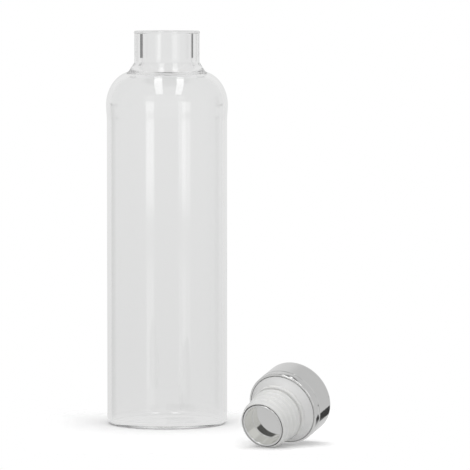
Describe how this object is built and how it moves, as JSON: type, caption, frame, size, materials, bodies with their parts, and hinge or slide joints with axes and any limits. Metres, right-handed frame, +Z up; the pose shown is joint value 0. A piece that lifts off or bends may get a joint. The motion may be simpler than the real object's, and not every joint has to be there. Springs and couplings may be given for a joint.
{
  "type": "glass water bottle",
  "caption": "Clear blown-glass bottle with a rounded shoulder and a short smooth neck, and its polished steel push-in stopper with a ribbed silicone sleeve lying beside it.",
  "frame": {"origin": "centre of the bottle's foot, on the table that bottle and stopper lie on", "axes": "+Z up along the bottle's axis, -Y the way the lying stopper's plug points, +X to the side where the stopper lies"},
  "size_m": [0.1577, 0.1142, 0.213],
  "materials": {
    "clear_glass": "polished",
    "polished_steel": "polished",
    "core_plastic": "matte",
    "sleeve_silicone": "satin"
  },
  "bodies": {
    "bottle": {"glass_bottle": "clear_glass"},
    "stopper": {"cap_shell": "polished_steel", "cap_collar": "polished_steel", "stopper_core": "core_plastic", "inner_cup": "polished_steel", "seal_sleeve": "sleeve_silicone"}
  },
  "joints": [
    {"name": "stopper_lift", "type": "slide", "parent": "bottle", "child": "stopper", "axis": [0, 0, 1], "range_m": [0, 0.24]}
  ]
}
